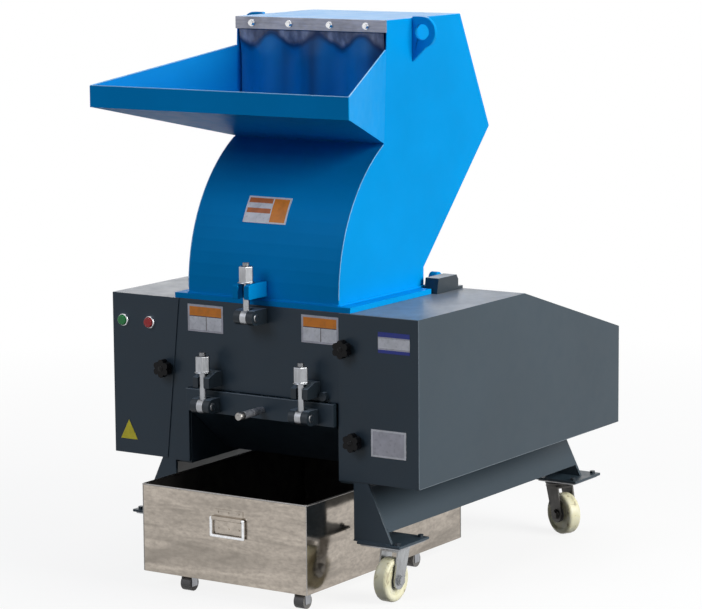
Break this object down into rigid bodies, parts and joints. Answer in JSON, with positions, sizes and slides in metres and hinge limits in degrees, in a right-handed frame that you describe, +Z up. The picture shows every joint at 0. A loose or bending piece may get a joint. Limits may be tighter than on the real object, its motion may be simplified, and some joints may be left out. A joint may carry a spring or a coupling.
{
  "type": "plastic granulator",
  "caption": "Plastic granulator with a flared feed tray, tilting hopper, knife rotor, screen cradle with swing bolts, belt drive in side boxes, casters and a rolling bin.",
  "frame": {"origin": "on the floor under the middle of the machine's outer box, with the casters standing on z = 0", "axes": "+Z up, -Y towards whoever feeds the machine, +X to that person's right, where the belt guard is"},
  "size_m": [0.83, 1.069, 1.275],
  "materials": {
    "anthracite_paint": "fine orange-peel gloss enamel",
    "blue_paint": "gloss enamel",
    "dark_bracket": "dark satin enamel on brackets, clevises and lugs",
    "motor_paint": "satin enamel on a finned casting",
    "zinc_steel": "zinc plated",
    "knife_steel": "ground tool steel",
    "stainless": "brushed sheet with soft horizontal streaks",
    "clamp_steel": "brushed bar",
    "shaft_steel": "turned steel",
    "pulley_iron": "machined cast iron",
    "bright_chrome": "polished",
    "belt_rubber": "matt",
    "plate_white": "blank plates in white, orange, blue and yellow, without lettering",
    "curtain_pvc": "soft translucent sheet",
    "wheel_nylon": "cream nylon",
    "roller_plastic": "grey",
    "knob_black": "moulded",
    "button_green": "moulded",
    "button_red": "moulded",
    "gear_grey": "moulded switchgear on a sheet panel"
  },
  "bodies": {
    "frame": {"frame_front_plate": "anthracite_paint", "frame_base": "anthracite_paint", "caster_plates": "zinc_steel", "chamber_side_walls": "anthracite_paint", "chamber_cross_walls": "anthracite_paint", "bed_knives": "knife_steel", "bearing_housings": "pulley_iron", "flywheel_box": "anthracite_paint", "belt_guard": "anthracite_paint", "motor_housing": "motor_paint", "motor_rails": "dark_bracket", "drive_belts": "belt_rubber", "blank_plates": "plate_white", "latch_brackets": "dark_bracket", "rear_hinge_brackets": "dark_bracket", "button_bezels": "zinc_steel", "frame_fasteners": "dark_bracket", "control_gear": "gear_grey"},
    "hopper": {"hopper_shell": "blue_paint", "feed_tray": "blue_paint", "hopper_flange": "blue_paint", "lifting_eyes": "blue_paint", "curtain_clamp_bar": "clamp_steel", "clamp_bolts": "bright_chrome", "neck_plate": "plate_white"},
    "curtain": {"feed_curtain": "curtain_pvc"},
    "top_bolt": {"top_swing_bolt": "zinc_steel"},
    "top_nut_body": {"top_nut": "zinc_steel"},
    "cradle": {"cradle_frame": "anthracite_paint", "screen": "knife_steel", "cradle_clevises": "dark_bracket", "cradle_handle": "bright_chrome"},
    "left_bolt": {"left_swing_bolt": "zinc_steel"},
    "left_nut_body": {"left_nut": "zinc_steel"},
    "right_bolt": {"right_swing_bolt": "zinc_steel"},
    "right_nut_body": {"right_nut": "zinc_steel"},
    "rotor": {"rotor_body": "shaft_steel", "rotor_knives": "knife_steel", "flywheel": "pulley_iron", "driven_pulley": "pulley_iron"},
    "motor_shaft": {"motor_pulley": "pulley_iron"},
    "bin": {"bin_body": "stainless", "bin_wheel_brackets": "zinc_steel", "bin_handle_plate": "bright_chrome"},
    "bin_grip": {"bin_handle": "bright_chrome"},
    "bin_front_rollers": {"bin_front_wheels": "roller_plastic"},
    "bin_rear_rollers": {"bin_rear_wheels": "roller_plastic"},
    "front_left_fork": {"front_left_caster_fork": "zinc_steel"},
    "front_left_wheel": {"front_left_caster_wheel": "wheel_nylon"},
    "front_right_fork": {"front_right_caster_fork": "zinc_steel"},
    "front_right_wheel": {"front_right_caster_wheel": "wheel_nylon"},
    "rear_left_fork": {"rear_left_caster_fork": "zinc_steel"},
    "rear_left_wheel": {"rear_left_caster_wheel": "wheel_nylon"},
    "rear_right_fork": {"rear_right_caster_fork": "zinc_steel"},
    "rear_right_wheel": {"rear_right_caster_wheel": "wheel_nylon"},
    "start_cap": {"start_button": "button_green"},
    "stop_cap": {"stop_button": "button_red"},
    "left_knob_body": {"left_knob": "knob_black"},
    "right_upper_knob_body": {"right_upper_knob": "knob_black"},
    "right_lower_knob_body": {"right_lower_knob": "knob_black"}
  },
  "joints": [
    {"name": "hopper_tilt", "type": "hinge", "parent": "frame", "child": "hopper", "pos_m": [0, 0.0435, 0.668], "axis": [-1, 0, 0], "range_deg": [0, 60]},
    {"name": "curtain_swing", "type": "hinge", "parent": "hopper", "child": "curtain", "pos_m": [0, -0.165, 1.2421], "axis": [1, 0, 0], "range_deg": [-15, 55]},
    {"name": "top_bolt_swing", "type": "hinge", "parent": "frame", "child": "top_bolt", "pos_m": [-0.009, -0.4165, 0.622], "axis": [1, 0, 0], "range_deg": [0, 90]},
    {"name": "top_nut_turn", "type": "hinge", "parent": "top_bolt", "child": "top_nut_body", "pos_m": [-0.009, -0.4165, 0.717], "axis": [0, 0, 1], "continuous": true},
    {"name": "cradle_drop", "type": "hinge", "parent": "frame", "child": "cradle", "pos_m": [0, 0.0255, 0.421], "axis": [1, 0, 0], "range_deg": [0, 12]},
    {"name": "left_bolt_swing", "type": "hinge", "parent": "cradle", "child": "left_bolt", "pos_m": [-0.132, -0.4165, 0.4105], "axis": [1, 0, 0], "range_deg": [0, 150]},
    {"name": "left_nut_turn", "type": "hinge", "parent": "left_bolt", "child": "left_nut_body", "pos_m": [-0.132, -0.4165, 0.505], "axis": [0, 0, 1], "continuous": true},
    {"name": "right_bolt_swing", "type": "hinge", "parent": "cradle", "child": "right_bolt", "pos_m": [0.135, -0.4165, 0.4105], "axis": [1, 0, 0], "range_deg": [0, 150]},
    {"name": "right_nut_turn", "type": "hinge", "parent": "right_bolt", "child": "right_nut_body", "pos_m": [0.135, -0.4165, 0.505], "axis": [0, 0, 1], "continuous": true},
    {"name": "rotor_spin", "type": "hinge", "parent": "frame", "child": "rotor", "pos_m": [0, -0.1852, 0.478], "axis": [1, 0, 0], "continuous": true},
    {"name": "motor_spin", "type": "hinge", "parent": "frame", "child": "motor_shaft", "pos_m": [0, 0.3135, 0.35], "axis": [1, 0, 0], "continuous": true},
    {"name": "bin_slide", "type": "slide", "parent": "frame", "child": "bin", "axis": [0, -1, 0], "range_m": [0, 0.65]},
    {"name": "bin_handle_fold", "type": "hinge", "parent": "bin", "child": "bin_grip", "pos_m": [-0.003, -0.5107, 0.183], "axis": [-1, 0, 0], "range_deg": [0, 100]},
    {"name": "bin_front_rollers_roll", "type": "hinge", "parent": "bin", "child": "bin_front_rollers", "pos_m": [0.024, -0.4815, 0.017], "axis": [1, 0, 0], "continuous": true},
    {"name": "bin_rear_rollers_roll", "type": "hinge", "parent": "bin", "child": "bin_rear_rollers", "pos_m": [0.024, -0.0315, 0.017], "axis": [1, 0, 0], "continuous": true},
    {"name": "front_left_swivel", "type": "hinge", "parent": "frame", "child": "front_left_fork", "pos_m": [-0.32, -0.3035, 0.12], "axis": [0, 0, 1], "continuous": true},
    {"name": "front_left_wheel_roll", "type": "hinge", "parent": "front_left_fork", "child": "front_left_wheel", "pos_m": [-0.31353, -0.32765, 0.05], "axis": [0.9659, 0.2588, 0], "continuous": true},
    {"name": "front_right_swivel", "type": "hinge", "parent": "frame", "child": "front_right_fork", "pos_m": [0.31, -0.3035, 0.12], "axis": [0, 0, 1], "continuous": true},
    {"name": "front_right_wheel_roll", "type": "hinge", "parent": "front_right_fork", "child": "front_right_wheel", "pos_m": [0.31, -0.3285, 0.05], "axis": [1, 0, 0], "continuous": true},
    {"name": "rear_left_swivel", "type": "hinge", "parent": "frame", "child": "rear_left_fork", "pos_m": [-0.292, 0.4555, 0.12], "axis": [0, 0, 1], "continuous": true},
    {"name": "rear_left_wheel_roll", "type": "hinge", "parent": "rear_left_fork", "child": "rear_left_wheel", "pos_m": [-0.30055, 0.43201, 0.05], "axis": [0.9397, -0.342, 0], "continuous": true},
    {"name": "rear_right_swivel", "type": "hinge", "parent": "frame", "child": "rear_right_fork", "pos_m": [0.292, 0.4555, 0.12], "axis": [0, 0, 1], "continuous": true},
    {"name": "rear_right_wheel_roll", "type": "hinge", "parent": "rear_right_fork", "child": "rear_right_wheel", "pos_m": [0.31466, 0.44494, 0.05], "axis": [0.4226, 0.9063, 0], "continuous": true},
    {"name": "start_press", "type": "slide", "parent": "frame", "child": "start_cap", "axis": [0, 1, 0], "range_m": [0, 0.004], "stiffness_N_per_m": 600},
    {"name": "stop_press", "type": "slide", "parent": "frame", "child": "stop_cap", "axis": [0, 1, 0], "range_m": [0, 0.004], "stiffness_N_per_m": 600},
    {"name": "left_knob_turn", "type": "hinge", "parent": "frame", "child": "left_knob_body", "pos_m": [-0.263, -0.3865, 0.481], "axis": [0, 1, 0], "continuous": true},
    {"name": "right_upper_knob_turn", "type": "hinge", "parent": "frame", "child": "right_upper_knob_body", "pos_m": [0.227, -0.3865, 0.567], "axis": [0, 1, 0], "continuous": true},
    {"name": "right_lower_knob_turn", "type": "hinge", "parent": "frame", "child": "right_lower_knob_body", "pos_m": [0.252, -0.3865, 0.362], "axis": [0, 1, 0], "continuous": true}
  ],
  "couplings": [
    {"joint": "motor_spin", "follows": "rotor_spin", "ratio": 2.5},
    {"joint": "left_bolt_swing", "follows": "cradle_drop", "ratio": 12.5},
    {"joint": "right_bolt_swing", "follows": "cradle_drop", "ratio": 12.5}
  ]
}
